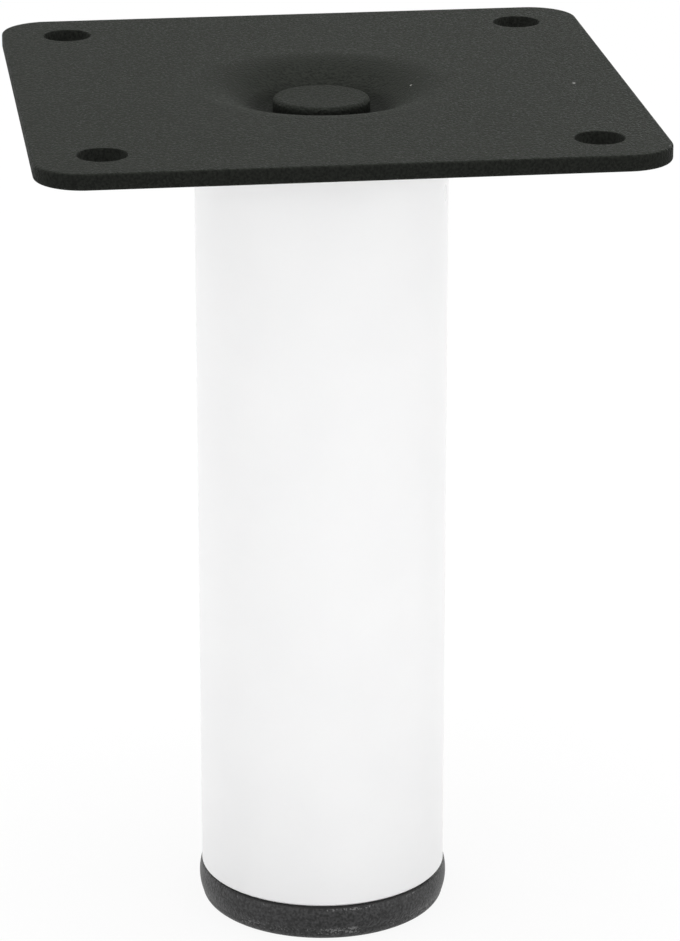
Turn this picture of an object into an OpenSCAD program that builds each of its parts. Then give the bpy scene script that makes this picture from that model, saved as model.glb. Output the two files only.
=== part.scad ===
// Round steel furniture leg with a square screw-on mounting plate.
//
// The leg stands on the plane z = 0 with its axis along +Z. The origin is the
// centre of the foot's underside. A plastic foot plug closes the lower end of
// a steel tube. A disc with a weld nut is fixed inside the upper end. The
// mounting plate is pressed into a shallow dish, and its welded bolt screws
// into the nut and pulls the dish down onto the tube's rim.

/* [Leg] */
// Overall height, from the floor to the top of the mounting plate
leg_h = 145; // [80:1:300]
// Outer diameter of the tube
tube_d = 42; // [40:0.5:60]
// Wall thickness of the tube
tube_wall = 1.5; // [1:0.1:2.5]
// Deburring chamfer along the edges of both tube rims
rim_chamfer = 0.3; // [0.1:0.05:0.4]

/* [Mounting plate] */
// Side of the square plate
plate_w = 100; // [80:1:160]
// Thickness of the plate, a 2.5 mm sheet with its textured coat
plate_t = 2.7; // [1.6:0.1:4]
// Radius of the plate's four corners
plate_corner_r = 8; // [2:0.5:14]
// Radius worn on the cut edges of the sheet by blanking and tumbling
plate_edge_r = 0.5; // [0.1:0.1:0.8]
// Distance from the plate's sides to the centres of the fixing holes
hole_inset = 11; // [8:0.5:16]
// Diameter of the four fixing holes
hole_d = 8; // [4:0.5:10]

/* [Dish] */
// Depth of the pressed dish, from the plate's top to the dish's floor
dish_depth = 4.5; // [3:0.1:5.2]
// How far the dish's shoulder starts outside the tube
dish_overhang = 1; // [0.8:0.1:2]
// Radius of the soft shoulder, on the upper face of the sheet
shoulder_r = 15; // [10:0.5:16]
// Radius where the dish's wall runs into its floor, on the upper face
foot_r = 4; // [2:0.5:5]

/* [Bolt and nut] */
// Diameter of the flat round bolt head
head_d = 16; // [12:0.5:17]
// Thickness of the bolt head
head_t = 2.5; // [1.4:0.1:3.2]
// Radius on the rim of the bolt head
head_edge_r = 0.8; // [0.1:0.1:1.2]
// Width of the flat ring of dish floor left round the bolt head
head_margin = 1; // [0.5:0.1:1.4]
// Nominal thread diameter
thread_d = 8; // [6:1:10]
// Pitch of the thread
thread_pitch = 1.25; // [1:0.25:1.5]
// Width of the weld nut across its flats
nut_af = 14; // [13:0.5:18]
// Height of the weld nut below the nut disc
nut_h = 6.5; // [5:0.5:10]
// Height of the pilot collar that centres the nut in the disc
pilot_h = 1.2; // [0.6:0.1:1.8]
// Length of thread that stands out below the nut
thread_end = 3; // [1:0.5:8]

/* [Nut disc] */
// Thickness of the steel disc that is fixed inside the tube
disc_t = 3; // [2:0.1:5]
// Free space between the dish and the disc, taken up as the bolt is tightened
disc_gap = 3; // [1:0.5:10]
// Weld chamfer round the edges of the disc
disc_chamfer = 0.5; // [0.2:0.1:0.8]

/* [Foot plug] */
// Height of the band that shows below the tube
band_h = 6.5; // [5:0.5:12]
// How far the band's widest line stands out from the tube
band_overhang = 0.45; // [0.3:0.05:1.5]
// How far the band's side bulges between its edges and its widest line
band_bulge = 0.35; // [0.2:0.05:0.6]
// Radius on the band's upper edge, next to the tube
band_lip_r = 0.4; // [0.2:0.1:0.8]
// Height of the sole below the crease
sole_h = 1.9; // [1.7:0.1:2.5]
// Step from the band's side in to the sole at the crease
sole_step = 0.15; // [0.1:0.05:0.4]
// Radius on the lower edge of the sole
sole_r = 1.6; // [0.8:0.1:1.7]
// Thickness of the plug's base
base_t = 3; // [2:0.25:4]
// Height of the hollow spigot inside the tube
spigot_h = 18; // [12:1:30]
// Wall thickness of the spigot and its webs
spigot_wall = 1.8; // [1.2:0.1:2.6]
// Number of webs that cross the inside of the spigot through its axis
web_count = 3; // [2:1:6]
// How far the webs stop below the spigot's upper end
web_drop = 2; // [1:0.5:4]
// Number of sealing fins round the spigot
fin_count = 4; // [2:1:6]
// How far the fins reach out from the spigot
fin_reach = 1.6; // [0.8:0.1:2.4]
// Thickness of a fin at its root
fin_root = 1.4; // [0.8:0.1:2]
// Thickness of a fin at its tip
fin_tip = 0.6; // [0.3:0.1:0.8]

/* [Clearances] */
// Gap all round between the bolt and its hole in the dish
bolt_clearance = 0.2; // [0.1:0.05:0.4]
// Gap all round between the bolt's thread and the nut's thread
thread_clearance = 0.05; // [0.02:0.01:0.1]
// Gap all round between the nut's pilot collar and the disc
pilot_clearance = 0.1; // [0.05:0.05:0.3]
// Gap all round between the nut disc and the tube, before welding
disc_clearance = 0.1; // [0.05:0.05:0.25]
// Gap all round between the tips of the fins and the tube
fin_clearance = 0.05; // [0.02:0.01:0.15]

/* [Hidden] */
$fn = 96;

// Levels along the axis
plate_top = leg_h;
plate_under = plate_top - plate_t;
dish_under = plate_under - dish_depth;
disc_top = dish_under - disc_gap;
nut_top = disc_top - disc_t;
bolt_end = nut_top - nut_h - thread_end;

// Tube
tube_r = tube_d / 2;
bore_r = tube_r - tube_wall;

// Dish: the shoulder and foot arcs of both faces share their centres, and the
// wall's angle is the one that joins the arcs with a common tangent. Between
// them the wall stays straight for at least the sheet's thickness, so a dish too
// narrow for the shoulder's radius bends tighter there.
dish_r = tube_r + dish_overhang;
floor_r = head_d / 2 + head_margin;
dish_run = dish_r - floor_r;
arcs_room = (pow(dish_run, 2) + pow(dish_depth, 2) - pow(plate_t, 2)) / (2 * dish_depth);
bend_r = min(shoulder_r, arcs_room - foot_r);
arcs_r = bend_r + foot_r;
wall_angle = atan2(dish_run, arcs_r - dish_depth) - acos(arcs_r / norm([dish_run, arcs_r - dish_depth]));

// The tube's rim meets the underside of the shoulder on the edge of its inner
// chamfer, which is this far below the flat of the plate
rim_contact = dish_r - bore_r - rim_chamfer;
under_r = bend_r - plate_t;
seat_drop = under_r - sqrt(pow(under_r, 2) - pow(rim_contact, 2));
tube_top = plate_under - seat_drop;

// Thread: bolt and nut are plain at their pitch diameter
pitch_r = (thread_d - 0.6495 * thread_pitch) / 2;
pilot_r = thread_d / 2 + thread_pitch;

// Foot plug
band_r = tube_r + band_overhang;
band_mid = (band_h + sole_h) / 2;
bulge_r = (pow(band_h - band_mid, 2) + pow(band_bulge, 2)) / (2 * band_bulge);
lip_edge = band_r - bulge_r + sqrt(pow(bulge_r, 2) - pow(band_h - band_lip_r - band_mid, 2));
sole_edge = band_r - band_bulge - sole_step;
spigot_r = bore_r - fin_clearance - fin_reach;
fin_pitch = spigot_h / (fin_count + 1);

// A rectangle from the axis outwards with its upper outer corner rounded, by a
// radius of up to its height
module round_top(w, h, r) {
    intersection() {
        square([w, h]);
        union() {
            square([w, h - r]);
            square([w - r, h]);
            translate([w - r, h - r]) circle(r);
        }
    }
}

// A rectangle from the axis outwards with both outer corners rounded
module round_edges(w, h, r) {
    translate([0, r]) square([w, h - 2 * r]);
    square([w - r, h]);
    for (y = [r, h - r]) translate([w - r, y]) circle(r);
}

// A rectangle from the axis outwards with both outer corners chamfered
module chamfer_edges(w, h, c) {
    polygon([[0, 0], [w - c, 0], [w, c], [w, h - c], [w - c, h], [0, h]]);
}

// Everything below one face of the dished sheet, in half section, with the
// sheet's flat top face at y = 0. depth is 0 for the upper face and the sheet's
// thickness for the lower one. The outline runs from the dish's floor along
// the chord of the foot, up the straight wall and along the chord of the
// shoulder to the flat, and two circles turn the chords into arcs.
module below_face(depth) {
    deep = -2 * arcs_r;
    outer = dish_r + 2 * plate_t;
    normal = [-sin(wall_angle), cos(wall_angle)];
    shoulder_c = [dish_r, -bend_r];
    foot_c = [floor_r, foot_r - dish_depth];
    difference() {
        union() {
            polygon([
                [-depth, deep],
                [outer, deep],
                [outer, -depth],
                [dish_r, -depth],
                shoulder_c + (bend_r - depth) * normal,
                foot_c - (foot_r + depth) * normal,
                [floor_r, -dish_depth - depth],
                [-depth, -dish_depth - depth]
            ]);
            translate(shoulder_c) circle(bend_r - depth);
        }
        translate(foot_c) circle(foot_r + depth);
    }
}

// The pressed dish with a narrow ring of the flat round it, in a sheet of even
// thickness
module dish() {
    rotate_extrude() intersection() {
        translate([0, -dish_depth - 2 * plate_t])
            square([dish_r + plate_t, dish_depth + 3 * plate_t]);
        difference() {
            below_face(0);
            below_face(plate_t);
        }
    }
}

// The flat square blank: four turned corners joined by two crossed bars, so
// that its rounded edge runs all the way round
module blank() {
    reach = plate_w / 2 - plate_corner_r;
    translate([0, 0, -plate_t]) {
        for (x = [-reach, reach], y = [-reach, reach])
            translate([x, y, 0]) rotate_extrude() round_edges(plate_corner_r, plate_t, plate_edge_r);
        for (turn = [0:90:270])
            rotate(turn) translate([0, reach, 0]) rotate([90, 0, 0])
                linear_extrude(2 * reach) round_edges(plate_w / 2, plate_t, plate_edge_r);
    }
}

// Square steel plate with four fixing holes and a pressed dish in its middle
module mounting_plate() {
    hole_at = plate_w / 2 - hole_inset;
    color([0.26, 0.27, 0.25])
    translate([0, 0, plate_top])
    difference() {
        union() {
            difference() {
                blank();
                translate([0, 0, -2 * plate_t]) cylinder(r = dish_r, h = 3 * plate_t);
            }
            dish();
        }
        for (x = [-hole_at, hole_at], y = [-hole_at, hole_at])
            translate([x, y, -2 * plate_t]) cylinder(d = hole_d, h = 3 * plate_t);
        translate([0, 0, -dish_depth - 2 * plate_t])
            cylinder(r = thread_d / 2 + bolt_clearance, h = 3 * plate_t);
    }
}

// Half section of the bolt: head, plain neck through the dish, and thread with
// a chamfered lead-in, each running up into the one above
module bolt_section() {
    head_under = plate_top - dish_depth;
    neck_end = dish_under - thread_pitch;
    translate([0, head_under]) round_top(head_d / 2, head_t, head_edge_r);
    translate([0, neck_end]) square([thread_d / 2, head_under + head_t / 2 - neck_end]);
    polygon([
        [0, bolt_end],
        [pitch_r - thread_pitch, bolt_end],
        [pitch_r, bolt_end + thread_pitch],
        [pitch_r, neck_end + thread_pitch],
        [0, neck_end + thread_pitch]
    ]);
}

// Flat-headed bolt, welded to the dish's floor
module plate_bolt() {
    color([0.26, 0.27, 0.25]) rotate_extrude() bolt_section();
}

// Steel tube, deburred at both rims
module leg_tube() {
    color([0.96, 0.96, 0.96])
    translate([0, 0, band_h]) rotate_extrude() translate([bore_r, 0]) difference() {
        chamfer_edges(tube_wall, tube_top - band_h, rim_chamfer);
        polygon([[0, 0], [rim_chamfer, 0], [0, rim_chamfer]]);
        translate([0, tube_top - band_h])
            polygon([[0, 0], [rim_chamfer, 0], [0, -rim_chamfer]]);
    }
}

// Steel disc fixed across the tube's bore
module nut_disc() {
    color([0.62, 0.63, 0.64])
    translate([0, 0, nut_top]) difference() {
        rotate_extrude() chamfer_edges(bore_r - disc_clearance, disc_t, disc_chamfer);
        translate([0, 0, -disc_t]) cylinder(r = pilot_r + pilot_clearance, h = 3 * disc_t);
    }
}

// Hexagon weld nut under the disc, its lower corners turned off at 30 degrees
module weld_nut() {
    corner_r = nut_af / 2 / cos(30);
    color([0.62, 0.63, 0.64])
    difference() {
        union() {
            intersection() {
                translate([0, 0, nut_top - nut_h]) cylinder(r = corner_r, h = nut_h, $fn = 6);
                translate([0, 0, nut_top - nut_h]) rotate_extrude() polygon([
                    [0, 0],
                    [nut_af / 2, 0],
                    [nut_af, nut_af / 2 * tan(30)],
                    [nut_af, nut_h],
                    [0, nut_h]
                ]);
            }
            translate([0, 0, nut_top]) cylinder(r = pilot_r, h = pilot_h);
        }
        translate([0, 0, nut_top - 2 * nut_h])
            cylinder(r = pitch_r + thread_clearance, h = 4 * nut_h);
    }
}

// Half section of the band and its sole, up to the tube's rim
module band_section() {
    difference() {
        intersection() {
            translate([band_r - bulge_r, band_mid]) circle(bulge_r, $fn = 360);
            translate([0, sole_h]) square([band_r + band_bulge, band_h - sole_h]);
        }
        translate([lip_edge - band_lip_r, band_h - band_lip_r]) difference() {
            square(2 * band_lip_r);
            circle(band_lip_r);
        }
    }
    square([spigot_r, band_h]);
    translate([0, sole_h]) mirror([0, 1]) round_top(sole_edge, sole_h, sole_r);
}

// Half section of one sealing fin, thinner at its tip and flat above
module fin_section() {
    polygon([
        [0, -fin_root],
        [spigot_r, -fin_root],
        [spigot_r + fin_reach, -fin_tip],
        [spigot_r + fin_reach, 0],
        [0, 0]
    ]);
}

// Moulded plug that closes the tube's lower end and is the leg's foot
module foot_plug() {
    hollow_r = spigot_r - spigot_wall;
    web_reach = hollow_r + spigot_wall / 2;
    color([0.24, 0.24, 0.24]) {
        difference() {
            rotate_extrude() {
                band_section();
                square([spigot_r, band_h + spigot_h]);
                for (i = [1:fin_count]) translate([0, band_h + i * fin_pitch]) fin_section();
            }
            translate([0, 0, base_t]) cylinder(r = hollow_r, h = band_h + spigot_h);
        }
        for (turn = [0:180 / web_count:179])
            rotate(turn) translate([-web_reach, -spigot_wall / 2, base_t / 2])
                cube([2 * web_reach, spigot_wall, band_h + spigot_h - web_drop - base_t / 2]);
    }
}

mounting_plate();
plate_bolt();
leg_tube();
nut_disc();
weld_nut();
foot_plug();
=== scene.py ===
import math

import bmesh
import bpy
import numpy as np
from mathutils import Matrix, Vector


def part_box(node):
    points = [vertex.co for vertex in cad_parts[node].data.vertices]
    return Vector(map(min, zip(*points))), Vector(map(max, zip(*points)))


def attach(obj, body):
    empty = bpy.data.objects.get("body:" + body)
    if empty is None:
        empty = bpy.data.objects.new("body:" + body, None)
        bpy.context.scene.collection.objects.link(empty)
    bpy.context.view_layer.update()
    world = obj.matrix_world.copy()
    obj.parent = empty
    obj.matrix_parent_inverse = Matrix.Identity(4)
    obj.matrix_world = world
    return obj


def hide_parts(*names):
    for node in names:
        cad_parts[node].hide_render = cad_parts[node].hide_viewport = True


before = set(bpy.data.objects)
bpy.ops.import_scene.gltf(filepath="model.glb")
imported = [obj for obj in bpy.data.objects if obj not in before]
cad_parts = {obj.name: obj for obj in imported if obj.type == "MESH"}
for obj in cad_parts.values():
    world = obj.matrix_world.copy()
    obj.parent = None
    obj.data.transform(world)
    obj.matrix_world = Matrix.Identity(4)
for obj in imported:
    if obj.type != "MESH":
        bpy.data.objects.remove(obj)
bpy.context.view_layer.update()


# ---------------------------------------------------------------------------
# Mounting plate: a square of sheet steel, blanked with rounded corners and four
# fixing holes, and pressed into a soft round dish. It is tumbled, and then
# powder-coated in a fine-textured black together with its welded bolt.
# ---------------------------------------------------------------------------
MM = 0.001

plate_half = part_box("mounting_plate")[1].x
plate_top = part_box("mounting_plate")[1].z
tube_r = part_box("leg_tube")[1].x
head_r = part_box("plate_bolt")[1].x

sheet = 2.7 * MM
corner_r = 8 * MM
edge_r = 0.5 * MM
hole_r = 4 * MM
hole_inset = 11 * MM
hole_mouth = 0.15 * MM
dish_depth = 4.5 * MM
dish_overhang = 1 * MM
head_margin = 1 * MM
shoulder_r = 15 * MM
foot_r = 4 * MM
bolt_hole_r = 4.2 * MM

turn_at = plate_half - corner_r
hole_at = plate_half - hole_inset
dish_r = tube_r + dish_overhang
floor_r = head_r + head_margin

# The patches of the plate meet on these lines
ring_r = 26 * MM
cell_half = 30 * MM
hole_ring_r = hole_r + 4 * hole_mouth

# Steps of the dish's section, from the bolt's hole outwards
FLOOR_STEPS = 5
FOOT_STEPS = 16
WALL_STEPS = 5
SHOULDER_STEPS = 26
FLAT_STEPS = 3

# Steps of the patches, of the outline's corners and of the rounded edges
RING_STEPS = 6
SIDE_STEPS = 48
CELL_STEPS = 16
HOLE_RING_STEPS = 5
STRAIGHT_STEPS = 6
CORNER_STEPS = 20
EDGE_STEPS = 8
MOUTH_STEPS = 5

# Points nearer than this are one, and an edge that turns by more is sharp
same_point = 1e-4 * MM
sharp_turn = math.radians(35)


def between(start, end, steps):
    """Points on a straight line, start + (end - start) * t, without the last one."""
    t = np.arange(steps)[:, None] / steps
    return np.asarray(start) + (np.asarray(end) - np.asarray(start)) * t


def arc(centre, radius, first, last, steps):
    """Points centre + radius * (cos a, sin a), with a in degrees from first to last."""
    a = np.radians(np.linspace(first, last, steps + 1))
    return np.asarray(centre) + radius * np.stack([np.cos(a), np.sin(a)], 1)


def turn_quarter(points, quarters):
    """Points (..., 3) turned round the Z axis by that many right angles."""
    c, s = [(1, 0), (0, 1), (-1, 0), (0, -1)][quarters]
    return points @ np.array([[c, s, 0], [-s, c, 0], [0, 0, 1]], float)


def lift(points, height):
    """Flat points (..., 2) raised to a height, which may be an array."""
    height = np.broadcast_to(np.asarray(height, float), points.shape[:-1])
    return np.concatenate([points, height[..., None]], -1)


def skin(points, closed=True):
    """A grid of points (rows, columns, 3) and its quads, each of which joins
    point (i, j) to (i + 1, j), (i + 1, j + 1) and (i, j + 1). A closed grid
    also joins its last column to its first."""
    rows, columns = points.shape[:2]
    index = np.arange(rows * columns).reshape(rows, columns)
    if closed:
        index = np.concatenate([index, index[:, :1]], 1)
    quads = np.stack([
        index[:-1, :-1], index[1:, :-1], index[1:, 1:], index[:-1, 1:]
    ], -1)
    return points.reshape(-1, 3), quads.reshape(-1, 4)


def ruled(first, second, steps):
    """The grid (1 - t) * first + t * second between two lines of points."""
    t = np.linspace(0, 1, steps + 1)[:, None, None]
    return first * (1 - t) + second * t


def soften(mesh):
    """Smooth faces, with every edge sharp that turns by more than sharp_turn."""
    mesh.shade_smooth()
    mesh.set_sharp_from_angle(angle=sharp_turn)


def join(name, skins):
    """One object from several skins. Points that fall together are made one,
    and a quad with two such points becomes a triangle."""
    counts = np.cumsum([0] + [len(points) for points, _ in skins])
    points = np.concatenate([points for points, _ in skins])
    quads = np.concatenate([
        quads + first for (_, quads), first in zip(skins, counts)
    ])
    _, first, same = np.unique(
        np.round(points / same_point), axis=0, return_index=True, return_inverse=True
    )
    points, quads = points[first], same.reshape(-1)[quads]
    kept = quads != np.roll(quads, 1, axis=1)
    kept &= (kept.sum(1) >= 3)[:, None]
    corners = kept.sum(1)
    corners = corners[corners > 0]
    mesh = bpy.data.meshes.new(name)
    mesh.vertices.add(len(points))
    mesh.vertices.foreach_set("co", points.astype(np.float32).ravel())
    mesh.loops.add(int(corners.sum()))
    mesh.loops.foreach_set("vertex_index", quads[kept].astype(np.int32))
    mesh.polygons.add(len(corners))
    starts = np.cumsum(corners) - corners
    mesh.polygons.foreach_set("loop_start", starts.astype(np.int32))
    mesh.update(calc_edges=True)
    mesh.validate()
    shape = bmesh.new()
    shape.from_mesh(mesh)
    bmesh.ops.recalc_face_normals(shape, faces=shape.faces)
    shape.to_mesh(mesh)
    shape.free()
    soften(mesh)
    made = bpy.data.objects.new(name, mesh)
    bpy.context.scene.collection.objects.link(made)
    return made


def dress(made, node, finish):
    """Gives a piece its finish and puts it in place of its solid."""
    weighted = made.modifiers.new("even flats", "WEIGHTED_NORMAL")
    weighted.keep_sharp = True
    made.data.materials.clear()
    made.data.materials.append(finish.material)
    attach(made, "root")
    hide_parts(node)


def plate_quarter(offset):
    """A quarter of the plate's outline, moved out by offset from the inner end
    of its edge radius: the +X side, half a straight, the corner's arc and half
    a straight of the next side."""
    reach = plate_half - edge_r + offset
    turn_r = corner_r - edge_r + offset
    return np.concatenate([
        between([reach, -cell_half], [reach, cell_half], SIDE_STEPS),
        between([reach, cell_half], [reach, turn_at], STRAIGHT_STEPS),
        arc([turn_at, turn_at], turn_r, 0, 90, CORNER_STEPS)[:-1],
        between([turn_at, reach], [cell_half, reach], STRAIGHT_STEPS),
    ])


def dish_section(depth):
    """Half section of one face of the sheet as (radius, height) rows, from the
    bolt's hole to the flat: dish floor, foot arc, straight wall, shoulder arc.
    Both faces share the arcs' centres, so the sheet is even, and the wall is
    the common tangent of the two arcs. depth is 0 for the upper face."""
    run, both = dish_r - floor_r, shoulder_r + foot_r
    rise = both - dish_depth
    slope = math.atan2(run, rise) - math.acos(both / math.hypot(run, rise))
    slope = math.degrees(slope)
    foot_centre, shoulder_centre = [floor_r, foot_r - dish_depth], [dish_r, -shoulder_r]
    foot = arc(foot_centre, foot_r + depth, -90, slope - 90, FOOT_STEPS)
    shoulder = arc(shoulder_centre, shoulder_r - depth, slope + 90, 90, SHOULDER_STEPS)
    return np.concatenate([
        between([bolt_hole_r, -dish_depth - depth], foot[0], FLOOR_STEPS),
        foot,
        between(foot[-1], shoulder[0], WALL_STEPS)[1:],
        shoulder,
        between(shoulder[-1], [ring_r, -depth], FLAT_STEPS)[1:],
        [[ring_r, -depth]],
    ])


def mounting_plate():
    """The plate's two faces are patches that share their border points: the
    revolved dish, a ring from its circle to a square, four strips and four
    corner cells round the fixing holes. The outer edge is carried round the
    outline, outline + offset * outward normal, and the hole walls are turned."""
    skins = []
    around = np.radians(-45 + np.arange(4 * SIDE_STEPS) * 90 / SIDE_STEPS)
    spokes = np.stack([np.cos(around), np.sin(around)], 1)
    strip_start = between([cell_half, -cell_half], [cell_half] * 2, SIDE_STEPS)
    square = np.concatenate([turn_quarter(lift(strip_start, 0), k) for k in range(4)])
    reach = plate_half - edge_r
    cell = np.concatenate([
        between([cell_half, cell_half], [reach, cell_half], CELL_STEPS),
        plate_quarter(0)[SIDE_STEPS:],
        between([cell_half, reach], [cell_half, cell_half], CELL_STEPS),
    ])
    hole_turn = np.radians(-135 + np.arange(len(cell)) * 360 / len(cell))
    hole_spokes = np.stack([np.cos(hole_turn), np.sin(hole_turn)], 1)
    hole_centre = np.array([hole_at, hole_at])
    for depth in (0, sheet):
        section = dish_section(depth)
        dish = lift(section[:, None, :1] * spokes, section[:, 1:])
        ring = ruled(lift(ring_r * spokes, -depth), square + [0, 0, -depth], RING_STEPS)
        skins += [skin(dish), skin(ring)]
        side = lift(strip_start, -depth)
        side = np.concatenate([side, [[cell_half, cell_half, -depth]]])
        outer = side.copy()
        outer[:, 0] = reach
        rim = lift(hole_centre + (hole_r + hole_mouth) * hole_spokes, -depth)
        near = lift(hole_centre + hole_ring_r * hole_spokes, -depth)
        strip = ruled(side, outer, CELL_STEPS)
        mouth_ring = ruled(rim, near, 1)
        corner_cell = ruled(near, lift(cell, -depth), HOLE_RING_STEPS)
        for k in range(4):
            skins.append(skin(turn_quarter(strip, k), closed=False))
            skins.append(skin(turn_quarter(mouth_ring, k)))
            skins.append(skin(turn_quarter(corner_cell, k)))
    round_top = arc([0, -edge_r], edge_r, 90, 0, EDGE_STEPS)
    edge = np.concatenate([round_top, (round_top * [1, -1] - [0, sheet])[::-1]])
    skins.append(skin(np.stack([
        np.concatenate([
            turn_quarter(lift(plate_quarter(out), height), k) for k in range(4)
        ])
        for out, height in edge
    ])))
    mouth = arc([hole_r + hole_mouth, -hole_mouth], hole_mouth, 90, 180, MOUTH_STEPS)
    wall = np.concatenate([mouth, (mouth * [1, -1] - [0, sheet])[::-1]])
    bore = lift(hole_centre + wall[:, None, :1] * hole_spokes, wall[:, 1:])
    skins += [skin(turn_quarter(bore, k)) for k in range(4)]
    neck = np.array([[bolt_hole_r, -dish_depth], [bolt_hole_r, -dish_depth - sheet]])
    skins.append(skin(lift(neck[:, None, :1] * spokes, neck[:, 1:])))
    up = np.array([0, 0, plate_top])
    return join("plate", [(points + up, quads) for points, quads in skins])


class Tone:
    """A socket of a finish. Sums on it, from either side, add their Math nodes."""

    def __init__(self, finish, socket):
        self.finish = finish
        self.socket = socket

    def sum(self, operation, first, second):
        """One Math node, on two tones or numbers."""
        return self.finish.node(
            "ShaderNodeMath", {"operation": operation}, {0: first, 1: second}
        )

    def __add__(self, other):
        return self.sum("ADD", self, other)

    def __sub__(self, other):
        return self.sum("SUBTRACT", self, other)

    def __rsub__(self, other):
        return self.sum("SUBTRACT", other, self)

    def __mul__(self, other):
        return self.sum("MULTIPLY", self, other)

    def __truediv__(self, other):
        return self.sum("DIVIDE", self, other)

    def __lt__(self, other):
        return self.sum("LESS_THAN", self, other)

    def __abs__(self):
        return self.sum("ABSOLUTE", self, 0)

    __radd__ = __add__
    __rmul__ = __mul__


class Finish:
    """A material that is built from nodes."""

    def __init__(self, name):
        self.material = bpy.data.materials.new(name)
        self.material.use_nodes = True
        self.use(self.material.node_tree)

    def use(self, tree):
        """Empties a node tree, and builds in it from then on."""
        self.tree = tree
        tree.nodes.clear()

    def node(self, kind, settings=None, sockets=None, output=0):
        """One node: its type, its settings, the values or links of its sockets
        and the output that is handed back."""
        added = self.tree.nodes.new(kind)
        for name, setting in (settings or {}).items():
            setattr(added, name, setting)
        for name, given in (sockets or {}).items():
            if isinstance(given, Tone):
                self.tree.links.new(given.socket, added.inputs[name])
            else:
                added.inputs[name].default_value = given
        return Tone(self, added.outputs[output])

    def place(self):
        """The place on the piece, from its Object coordinates, in metres."""
        return self.node("ShaderNodeTexCoord", output="Object")

    def height(self, place):
        """How high a place is."""
        return self.node("ShaderNodeSeparateXYZ", {}, {"Vector": place}, output="Z")

    def noise(self, size, detail=2.0):
        """Noise of 0 to 1, with features of about that size in metres."""
        sockets = {"Vector": self.place(), "Scale": 1 / size, "Detail": detail}
        return self.node("ShaderNodeTexNoise", {}, sockets)

    def blend(self, factor, first, second):
        """A colour between two, by a factor that may vary. The Mix node's
        colours are its sockets 6 and 7 and its output 2."""
        sockets = {0: factor, 6: first, 7: second}
        return self.node("ShaderNodeMix", {"data_type": "RGBA"}, sockets, output=2)

    def vector(self, operation, first, second=(0, 0, 0)):
        """A sum on vectors."""
        return self.node(
            "ShaderNodeVectorMath", {"operation": operation}, {0: first, 1: second}
        )

    def length(self, first):
        """How long a vector is."""
        return self.node(
            "ShaderNodeVectorMath", {"operation": "LENGTH"}, {0: first}, output="Value"
        )

    def limit(self, value):
        """A value held between 0 and 1."""
        return self.node("ShaderNodeClamp", {}, {"Value": value})

    def relief(self, height, depth):
        """A bump from a height of 0 to 1 that stands for that depth in metres."""
        return self.node("ShaderNodeBump", {}, {"Height": height, "Distance": depth})

    def end(self, shader, kind="ShaderNodeOutputMaterial"):
        """Makes a shader the one that shows."""
        last = self.tree.nodes.new(kind)
        self.tree.links.new(shader.socket, last.inputs["Surface"])

    def surface(self, **sockets):
        """The Principled shader, its sockets named with underscores."""
        named = {name.replace("_", " "): given for name, given in sockets.items()}
        self.end(self.node("ShaderNodeBsdfPrincipled", {}, named))


def swing(tone, middle, width):
    """A tone of 0 to 1 stretched to that width, about a new middle."""
    return (tone - 0.5) * width + middle


coat_low = (0.0135, 0.0146, 0.0126, 1)
coat_high = (0.0315, 0.0340, 0.0294, 1)
# The black that the painted shade on the edges, holes and groove draws the colour
# towards
shade_black = (0, 0, 0, 1)
coat_sheen = (0.93, 1.0, 0.91, 1)
coat_rough = 0.6
coat_rough_swing = 0.4
coat_relief = 0.65 * MM
sand_size = 0.45 * MM
sand_contrast = 5
mottle_size = 1.6 * MM
dust_colour = (0.40, 0.40, 0.38, 1)
dust_spacing = 13 * MM
dust_r = 0.26 * MM

# How much of the colour and of the relief the sand makes, and not the mottling
sand_in_colour = 0.75
sand_in_relief = 0.8

# Painted shade on the sheared edges, in the holes and in the groove round the bolt's
# head: how far from the outline, from a hole's wall and below the plate's top that
# starts, the length over which it comes in, and the share of the colour that it takes
# away
edge_start, edge_fade, edge_shade_share = 0.3 * MM, 0.2 * MM, 0.45
hole_start, hole_fade, hole_shade_share = 0.1 * MM, 0.08 * MM, 0.35
groove_start, groove_fade, groove_shade_share = 3 * MM, 1.2 * MM, 0.46


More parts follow.
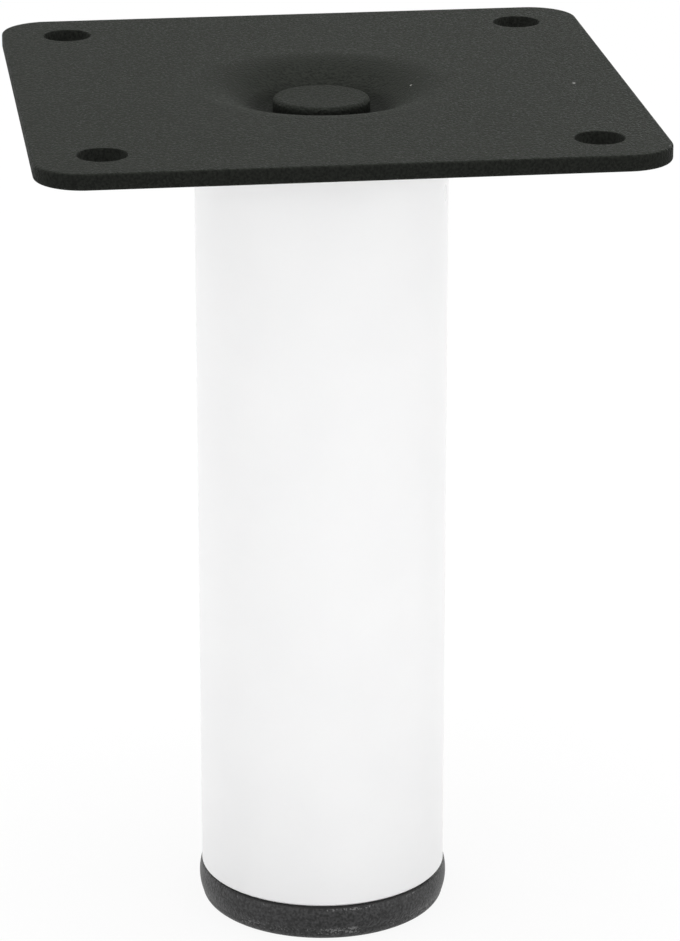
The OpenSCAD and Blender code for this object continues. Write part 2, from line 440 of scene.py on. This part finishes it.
def black_powder_coat():
    """Matt black coat with a fine sandy texture, faint mottling and a few pale grains
    of dust caught in it. Painted shade darkens its colour on the sheared edges, in the
    holes and in the groove round the bolt's head. The outline is where the part of
    (|x|, |y|) past the corner's centre is as long as the corner's radius."""
    coat = Finish("black powder coat")
    grain = coat.noise(sand_size, detail=4)
    mottling = coat.noise(mottle_size)
    sand = coat.limit(swing(grain, 0.5, sand_contrast))
    patches = sand * sand_in_colour + mottling * (1 - sand_in_colour)
    colour = coat.blend(patches, coat_low, coat_high)

    place = coat.place()
    folded = coat.vector("ABSOLUTE", coat.vector("MULTIPLY", place, (1, 1, 0)))
    past_turn = coat.vector("SUBTRACT", folded, (turn_at, turn_at, 0))
    past_turn = coat.vector("MAXIMUM", past_turn, (0, 0, 0))
    # Painted shade: the colour is drawn towards black on the outer edge, in the fixing
    # holes and low in the dish round the bolt's head
    edge = coat.limit((coat.length(past_turn) - corner_r + edge_start) / edge_fade)
    from_hole = coat.length(coat.vector("SUBTRACT", folded, (hole_at, hole_at, 0)))
    hole = coat.limit((hole_r + hole_start - from_hole) / hole_fade)
    groove = coat.limit((plate_top - groove_start - coat.height(place)) / groove_fade)
    painted_shade = coat.limit(edge * edge_shade_share + hole * hole_shade_share + groove * groove_shade_share)
    colour = coat.blend(painted_shade, colour, shade_black)

    sockets = {"Vector": place, "Scale": 1 / dust_spacing}
    from_speck = coat.node("ShaderNodeTexVoronoi", {}, sockets)
    dust = from_speck < dust_r / dust_spacing
    bumps = grain * sand_in_relief + mottling * (1 - sand_in_relief)
    coat.surface(
        Base_Color=coat.blend(dust, colour, dust_colour),
        Roughness=swing(sand, coat_rough, coat_rough_swing),
        Specular_IOR_Level=0.016,
        Sheen_Weight=0.014,
        Sheen_Roughness=0.7,
        Sheen_Tint=coat_sheen,
        Normal=coat.relief(bumps, coat_relief),
    )
    return coat


black_coat = black_powder_coat()
dress(mounting_plate(), "mounting_plate", black_coat)


# ---------------------------------------------------------------------------
# Plate bolt: an M8 bolt with a flat round head. The head lies in the dish and
# is welded to its floor before coating, so it has the plate's black coat. Its
# rolled thread reaches down through the weld nut.
# ---------------------------------------------------------------------------
bolt_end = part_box("plate_bolt")[0].z
head_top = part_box("plate_bolt")[1].z
head_under = plate_top - dish_depth
head_edge_r = 0.8 * MM
thread_r = 4 * MM
pitch = 1.25 * MM
lead_in = 1.2 * MM
neck_end = head_under - sheet - pitch

# The standard proportions of a 60 degree thread: its pitch radius, the height
# of the sharp ridge, and the depths of the bolt's thread and of the nut's
pitch_r = thread_r - 0.6495 * pitch / 2
ridge_h = 0.866 * pitch
bolt_thread_depth = 0.6134 * pitch
nut_thread_depth = 0.5413 * pitch


def turned(radius, height, columns):
    """The surface (r cos a, r sin a, z), for rows of height and of radius, which
    may also vary with the angle a."""
    a = np.arange(columns) * 2 * np.pi / columns
    rows = len(height)
    radius = np.broadcast_to(radius.reshape(rows, -1), (rows, columns))
    height = np.broadcast_to(height.reshape(rows, 1), (rows, columns))
    return np.stack([radius * np.cos(a), radius * np.sin(a), height], -1)


def thread_radius(height, columns, root_r, clearance=0.0):
    """Radius of a 60 degree thread. Its phase z / pitch - a / 2 pi is folded to
    a triangle wave of height ridge_h about the pitch radius, and the wave is
    cut off flat at root and crest."""
    turns = np.arange(columns) / columns
    phase = (height[:, None] / pitch - turns) % 1
    wave = pitch_r + (np.abs(2 * phase - 1) - 0.5) * ridge_h
    return np.clip(wave, root_r, thread_r) + clearance


def plate_bolt():
    """Head and neck are turned from a half section, and the thread is the same
    surface with a radius that varies with angle and height. It fades in over
    one pitch below the neck, and a cone of 45 degrees cuts it at the tip."""
    columns, thread_rows, edge_steps = 128, 160, 6
    edge_centre = [head_r - head_edge_r, head_top - head_edge_r]
    head = np.concatenate([
        [[0, head_top]],
        arc(edge_centre, head_edge_r, 90, 0, edge_steps),
        [[head_r, head_under], [thread_r, head_under], [thread_r, neck_end]],
    ])
    rows = np.linspace(neck_end, bolt_end, thread_rows)
    run_out = np.clip((neck_end - rows) / pitch, 0, 1)[:, None]
    cone = (rows - bolt_end)[:, None] + pitch_r - lead_in
    thread = thread_radius(rows, columns, thread_r - bolt_thread_depth)
    shank = thread * run_out + thread_r * (1 - run_out)
    shank = np.minimum(shank, np.maximum(cone, 0))
    tip = turned(np.array([0.0]), np.array([bolt_end]), columns)
    grid = np.concatenate([
        turned(head[:, 0], head[:, 1], columns), turned(shank, rows, columns), tip
    ])
    return join("bolt", [skin(grid)])


dress(plate_bolt(), "plate_bolt", black_coat)


# ---------------------------------------------------------------------------
# Leg tube: 42 mm round steel tube with a 1.5 mm wall, cut square and deburred
# at both ends. It is powder-coated in a smooth, half-gloss white, which flows
# out with a faint orange peel.
# ---------------------------------------------------------------------------
tube_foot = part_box("leg_tube")[0].z
tube_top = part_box("leg_tube")[1].z
tube_wall = 1.5 * MM
bore_r = tube_r - tube_wall
rim_chamfer = 0.3 * MM


def leg_tube():
    """A closed ring section, turned: outer wall, rims with their chamfers and
    bore. The long walls are cut into rows so that their faces stay short."""
    columns, rows = 256, 24
    low, high = tube_foot, tube_top
    low_turn, high_turn = low + rim_chamfer, high - rim_chamfer
    section = np.concatenate([
        [[bore_r + rim_chamfer, low], [tube_r - rim_chamfer, low]],
        between([tube_r, low_turn], [tube_r, high_turn], rows),
        [[tube_r, high_turn], [tube_r - rim_chamfer, high]],
        [[bore_r + rim_chamfer, high]],
        between([bore_r, high_turn], [bore_r, low_turn], rows),
        [[bore_r, low_turn], [bore_r + rim_chamfer, low]],
    ])
    return join("tube", [skin(turned(section[:, 0], section[:, 1], columns))])


white_low = (0.88, 0.88, 0.885, 1)
white_high = (0.93, 0.93, 0.93, 1)
white_rough = 0.3
white_rough_swing = 0.12
cloud_size = 18 * MM
peel_size = 2.2 * MM
peel_relief = 0.012 * MM


def white_powder_coat():
    """Smooth white coat: orange peel a few millimetres across and very shallow,
    with a sheen that is a little uneven."""
    coat = Finish("white powder coat")
    peel = coat.noise(peel_size, detail=1)
    cloud = coat.noise(cloud_size)
    coat.surface(
        Base_Color=coat.blend(cloud, white_low, white_high),
        Roughness=swing(cloud, white_rough, white_rough_swing),
        Specular_IOR_Level=0.45,
        Normal=coat.relief(peel, peel_relief),
    )
    return coat


dress(leg_tube(), "leg_tube", white_powder_coat())


# ---------------------------------------------------------------------------
# Nut disc: a 3 mm steel disc with a hole for the nut's collar, fixed across
# the tube just below its upper rim. It carries the nut that the bolt pulls on.
# ---------------------------------------------------------------------------
disc_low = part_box("nut_disc")[0].z
disc_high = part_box("nut_disc")[1].z
disc_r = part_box("nut_disc")[1].x
disc_chamfer = 0.5 * MM
collar_r = thread_r + pitch
collar_gap = 0.1 * MM
disc_hole_r = collar_r + collar_gap


def nut_disc():
    """A closed ring section with chamfered outer edges, turned."""
    columns = 192
    low, high, c = disc_low, disc_high, disc_chamfer
    section = np.array([
        [disc_hole_r, low], [disc_r - c, low], [disc_r, low + c], [disc_r, high - c],
        [disc_r - c, high], [disc_hole_r, high], [disc_hole_r, low],
    ])
    return join("disc", [skin(turned(section[:, 0], section[:, 1], columns))])


zinc_low = (0.55, 0.56, 0.57, 1)
zinc_high = (0.68, 0.69, 0.70, 1)
zinc_rough = 0.34
zinc_rough_swing = 0.2
bloom_size = 3 * MM
zinc_grain_size = 0.3 * MM
zinc_relief = 0.01 * MM


def plated_steel():
    """Zinc-plated steel: a dull metal with a fine, slightly cloudy bloom."""
    plating = Finish("plated steel")
    bloom = plating.noise(bloom_size)
    grain = plating.noise(zinc_grain_size)
    plating.surface(
        Base_Color=plating.blend(bloom, zinc_low, zinc_high),
        Metallic=1.0,
        Roughness=swing(bloom, zinc_rough, zinc_rough_swing),
        Normal=plating.relief(grain, zinc_relief),
    )
    return plating


plating = plated_steel()
dress(nut_disc(), "nut_disc", plating)


# ---------------------------------------------------------------------------
# Weld nut: an M8 hexagon nut under the disc, with its lower corners turned off
# at 30 degrees. Its round collar sits in the disc's hole and centres it.
# ---------------------------------------------------------------------------
nut_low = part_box("weld_nut")[0].z
collar_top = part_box("weld_nut")[1].z
nut_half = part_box("weld_nut")[1].y
nut_chamfer = math.radians(30)
thread_gap = 0.05 * MM


def weld_nut():
    """The hexagon's radius is half its width over cos of the angle from the
    middle of a flat, and the chamfer's cone limits it. The bore is the bolt's
    thread with its running gap, so the two threads lie in phase."""
    columns, side_rows, thread_rows = 192, 40, 110
    from_flat = np.arange(columns) * 360 / columns % 60 - 30
    hexagon = nut_half / np.cos(np.radians(from_flat))
    rows = np.linspace(nut_low, disc_low, side_rows)
    cone = nut_half + (rows - nut_low) / math.tan(nut_chamfer)
    sides = np.minimum(hexagon, cone[:, None])
    collar = np.array([disc_low, collar_top])
    bore_rows = np.linspace(collar_top, nut_low, thread_rows)
    bore = thread_radius(bore_rows, columns, thread_r - nut_thread_depth, thread_gap)
    grid = np.concatenate([
        turned(sides, rows, columns),
        turned(np.array([collar_r, collar_r]), collar, columns),
        turned(bore, bore_rows, columns),
    ])
    grid = np.concatenate([grid, grid[:1]])
    return join("nut", [skin(grid)])


dress(weld_nut(), "weld_nut", plating)


# ---------------------------------------------------------------------------
# Foot plug: one moulding of black plastic, pushed into the tube's lower end.
# Its bulged band shows below the tube, over a rounded sole. Inside the tube a
# hollow spigot with crossed webs grips the bore with soft sealing fins.
# ---------------------------------------------------------------------------
band_top = tube_foot
band_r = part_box("foot_plug")[1].x
plug_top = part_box("foot_plug")[1].z
band_bulge = 0.35 * MM
lip_r = 0.4 * MM
sole_h = 1.9 * MM
sole_step = 0.15 * MM
sole_r = 1.6 * MM
base = 3 * MM
plug_wall = 1.8 * MM
fin_count = 4
fin_reach = 1.6 * MM
fin_root = 1.4 * MM
fin_tip = 0.6 * MM
fin_gap = 0.05 * MM
spigot_r = bore_r - fin_gap - fin_reach
web_count = 3
web_drop = 2 * MM


def foot_plug():
    """A half section, turned: sole, crease, bulged band, lip, spigot with its
    fins, and hollow. The band's side is an arc through its widest line and
    both its edges. The webs are crossed bars, united with the turned shape,
    and points that their crossings double are made one."""
    columns, sole_steps, side_steps, lip_steps = 256, 12, 16, 6
    middle = (band_top + sole_h) / 2
    bulge_r = ((band_top - middle) ** 2 + band_bulge ** 2) / (2 * band_bulge)
    band_centre = band_r - bulge_r
    sole_edge = band_r - band_bulge - sole_step
    levels = np.linspace(sole_h, band_top - lip_r, side_steps)
    side = np.stack([
        band_centre + np.sqrt(bulge_r ** 2 - (levels - middle) ** 2), levels
    ], 1)
    lip_centre = [side[-1, 0] - lip_r, band_top - lip_r]
    hollow_r = spigot_r - plug_wall
    fin_pitch = (plug_top - band_top) / (fin_count + 1)
    tip_r = spigot_r + fin_reach
    fins = []
    for i in range(1, fin_count + 1):
        level = band_top + i * fin_pitch
        fins += [
            [spigot_r, level - fin_root], [tip_r, level - fin_tip], [tip_r, level],
            [spigot_r, level],
        ]
    section = np.concatenate([
        [[0, 0]],
        arc([sole_edge - sole_r, sole_r], sole_r, -90, 0, sole_steps),
        [[sole_edge, sole_h]],
        side,
        arc(lip_centre, lip_r, 0, 90, lip_steps)[1:],
        [[spigot_r, band_top]],
        fins,
        [[spigot_r, plug_top], [hollow_r, plug_top], [hollow_r, base], [0, base]],
    ])
    plug = join("plug", [skin(turned(section[:, 0], section[:, 1], columns))])
    bars = []
    reach = hollow_r + plug_wall / 2
    low, high = base / 2, plug_top - web_drop
    for k in range(web_count):
        a = math.pi * k / web_count
        along = np.array([math.cos(a), math.sin(a)])
        across = np.array([-along[1], along[0]]) * plug_wall / 2
        ends = [(1, 1), (-1, 1), (-1, -1), (1, -1)]
        loop = np.array([s * reach * along + t * across for s, t in ends])
        pole = np.zeros_like(loop)
        rows = [lift(pole, low), lift(loop, low), lift(loop, high), lift(pole, high)]
        bars.append(join("bar", [skin(np.stack(rows))]))
        web = plug.modifiers.new("web", "BOOLEAN")
        web.operation, web.solver, web.object = "UNION", "MANIFOLD", bars[-1]
    bpy.context.view_layer.update()
    whole = plug.evaluated_get(bpy.context.evaluated_depsgraph_get())
    plug.data = bpy.data.meshes.new_from_object(whole)
    plug.modifiers.clear()
    shape = bmesh.new()
    shape.from_mesh(plug.data)
    bmesh.ops.remove_doubles(shape, verts=shape.verts, dist=same_point)
    shape.to_mesh(plug.data)
    shape.free()
    soften(plug.data)
    for bar in bars:
        bpy.data.objects.remove(bar)
    return plug


plastic_low = (0.004, 0.004, 0.004, 1)
plastic_high = (0.040, 0.040, 0.041, 1)
plastic_rough = 0.42
plastic_rough_swing = 0.1
plastic_relief = 0.25 * MM
spark_size = 0.5 * MM
spark_contrast = 4
scuff_middle = 0.4
flow_size = 6 * MM

# Pale flecks, along the sole's crease and, as a painted highlight, below the rim: their
# colour and size, how far the flow of the plastic gathers them, the level from which
# they show, how crisp they are, and the two lines that they keep to
fleck_colour = (0.16, 0.16, 0.16, 1)
fleck_size = 0.35 * MM
fleck_gather = 0.8
fleck_level = 1.02
fleck_contrast = 12
sole_line_w = 0.45 * MM
rim_line_w = 0.15 * MM
rim_line_drop = 0.6 * MM

# Painted shade along the joint under the tube's rim: its colour, how far down the band
# it reaches and how softly it fades
joint_shade_colour = (0, 0, 0, 1)
joint_shade_h = 0.35 * MM
joint_shade_fade = 0.1 * MM


def black_plastic():
    """Moulded black plastic with a coarse spark-eroded grain, scuffed a little paler on
    the tops of the grain, and a low sheen. Pale flecks sit along the sole's crease and,
    as a painted highlight, just below the rim, patch by patch. A black band of painted
    shade lies at the top of the band, against the tube's rim."""
    plastic = Finish("black plastic")
    grain = plastic.noise(spark_size, detail=4)
    flow = plastic.noise(flow_size)
    scuffed = plastic.limit(swing(grain, scuff_middle, spark_contrast))
    height = plastic.height(plastic.place())

    def line(level, width):
        """1 from a level to that far above and below it, and then fading out
        over as much again."""
        return plastic.limit(2 - abs(height - level) / width)

    lines = line(sole_h, sole_line_w) + line(band_top - rim_line_drop, rim_line_w)
    flecks = plastic.noise(fleck_size, detail=3) + flow * fleck_gather
    # Pale flecks along the sole's crease, and flecks of painted highlight just below
    # the rim
    flecks_and_highlight = plastic.limit((flecks - fleck_level) * fleck_contrast) * lines
    # Painted shade: the colour goes black over the top of the band, against the tube's
    # rim
    joint_shade = plastic.limit((height - (band_top - joint_shade_h)) / joint_shade_fade)
    colour = plastic.blend(scuffed, plastic_low, plastic_high)
    colour = plastic.blend(flecks_and_highlight, colour, fleck_colour)
    plastic.surface(
        Base_Color=plastic.blend(joint_shade, colour, joint_shade_colour),
        Roughness=swing(flow, plastic_rough, plastic_rough_swing),
        Specular_IOR_Level=0.32,
        Normal=plastic.relief(grain, plastic_relief),
    )
    return plastic


dress(foot_plug(), "foot_plug", black_plastic())


# ---------------------------------------------------------------------------
# Studio: a pale floor that shows white and keeps a faint shadow of the leg, an
# even white room, a large soft lamp overhead and a ring of low ones. The camera
# stands a little to the left, has a long lens, and looks down on the plate.
# ---------------------------------------------------------------------------
white = (1, 1, 1, 1)
floor_colour = (0.95, 0.95, 0.95, 1)
floor_half = 6.0
floor_gap = 0.05 * MM
self_lit = 0.92
room_strength = 0.3
overhead_height = 1.6
overhead_size = 0.9
overhead_power = 20
ring_distance = 1.6
ring_height = 0.32
low_size = 0.6

# Each low lamp's bearing in degrees, and its power in watts
low_lamps = [(-145, 4), (-68, 4.2), (-35, 4.5), (42, 4.7), (73, 4.4), (150, 4)]

# The lens and its sensor's width in millimetres, its distance from the middle of
# the plate's top, the two angles of its view, and that middle's place before it
lens = 163.33
sensor_width = 36
lens_distance = 0.7
look_down = math.radians(19.509)
look_across = math.radians(7.419)
plate_aside = -3.055 * MM
plate_above = 63.331 * MM


def seen(finish):
    """1 for what the eye, a reflection or a clear piece shows, and otherwise 0."""
    ray = finish.node("ShaderNodeLightPath", output="Is Camera Ray")
    glossy = finish.node("ShaderNodeLightPath", output="Is Glossy Ray")
    through = finish.node("ShaderNodeLightPath", output="Is Transmission Ray")
    return ray + glossy + through


def pale_floor():
    """A white matt floor that is partly self-lit to the eye, which keeps the
    shadow faint. It lies a hair below the sole, so that the two don't fight."""
    floor = Finish("pale floor")
    matt = floor.node("ShaderNodeBsdfDiffuse", {}, {"Color": floor_colour})
    glow = floor.node("ShaderNodeEmission", {}, {"Color": white, "Strength": 1.0})
    sockets = {0: seen(floor) * self_lit, 1: matt, 2: glow}
    floor.end(floor.node("ShaderNodeMixShader", {}, sockets))
    corners = np.array([[-1, -1], [1, -1], [1, 1], [-1, 1]]) * floor_half
    corners = lift(corners, -floor_gap)
    mesh = bpy.data.meshes.new("floor")
    mesh.from_pydata(corners.tolist(), [], [(0, 1, 2, 3)])
    mesh.materials.append(floor.material)
    made = bpy.data.objects.new("floor", mesh)
    bpy.context.scene.collection.objects.link(made)


def white_room():
    """White where it is seen, and the room's light everywhere else."""
    world = bpy.data.worlds.new("white room")
    world.use_nodes = True
    bpy.context.scene.world = world
    room = Finish("room")
    bpy.data.materials.remove(room.material)
    room.use(world.node_tree)
    strength = room_strength + seen(room) * (1 - room_strength)
    back = room.node("ShaderNodeBackground", {}, {"Color": white, "Strength": strength})
    room.end(back, "ShaderNodeOutputWorld")


def soft_lamp(name, place, size, power):
    """A square lamp that faces the middle of the leg."""
    data = bpy.data.lights.new(name, "AREA")
    data.size, data.energy = size, power
    lamp = bpy.data.objects.new(name, data)
    lamp.location = place
    aim = Vector((0, 0, plate_top / 2)) - Vector(place)
    lamp.rotation_euler = aim.to_track_quat("-Z", "Y").to_euler()
    bpy.context.scene.collection.objects.link(lamp)


def turned_place(bearing, distance, height):
    """A place that far from the leg, at a bearing in degrees from straight in
    front of it, positive to the right."""
    a = math.radians(bearing)
    return distance * math.sin(a), -distance * math.cos(a), height


def studio_camera():
    """The camera's axes come from its two angles, and its place is the middle
    of the plate's top less that point's place before the lens."""
    down, across = look_down, look_across
    ahead = Vector((
        math.sin(across) * math.cos(down),
        math.cos(across) * math.cos(down),
        -math.sin(down),
    ))
    right = Vector((math.cos(across), -math.sin(across), 0))
    above = right.cross(ahead)
    data = bpy.data.cameras.new("camera")
    data.sensor_width, data.lens = sensor_width, lens
    camera = bpy.data.objects.new("camera", data)
    plate_middle = Vector((0, 0, plate_top))
    plate_before = right * plate_aside + above * plate_above + ahead * lens_distance
    camera.location = plate_middle - plate_before
    camera.rotation_euler = ahead.to_track_quat("-Z", "Y").to_euler()
    bpy.context.scene.collection.objects.link(camera)
    bpy.context.scene.camera = camera


pale_floor()
white_room()
for bearing, power in low_lamps:
    low_place = turned_place(bearing, ring_distance, ring_height)
    soft_lamp("low lamp", low_place, low_size, power)
soft_lamp("overhead lamp", (0, 0, overhead_height), overhead_size, overhead_power)
studio_camera()
bpy.context.scene.view_settings.view_transform = "Standard"
